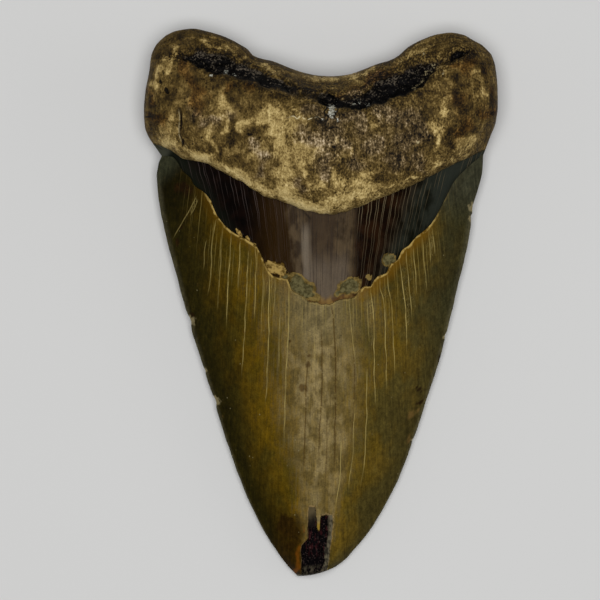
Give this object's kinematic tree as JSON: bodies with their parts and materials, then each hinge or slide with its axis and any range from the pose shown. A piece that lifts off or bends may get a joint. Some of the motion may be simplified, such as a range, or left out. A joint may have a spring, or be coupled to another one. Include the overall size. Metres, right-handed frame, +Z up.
{
  "type": "fossil megalodon tooth",
  "caption": "Large fossil shark tooth lying on its outer face: thick mottled root with a long fissure, dark neck band, domed enamel crown and a broken tip.",
  "frame": {"origin": "under the middle of the tooth's box, on the surface that it lies on", "axes": "+X across the tooth, +Y from the tip towards the root, +Z up out of the domed inner face"},
  "size_m": [0.0884, 0.137, 0.0299],
  "materials": {
    "fossil": "mineralised bone root, semi-gloss enamel crown"
  },
  "bodies": {
    "root": {"tooth": "fossil"}
  },
  "joints": []
}
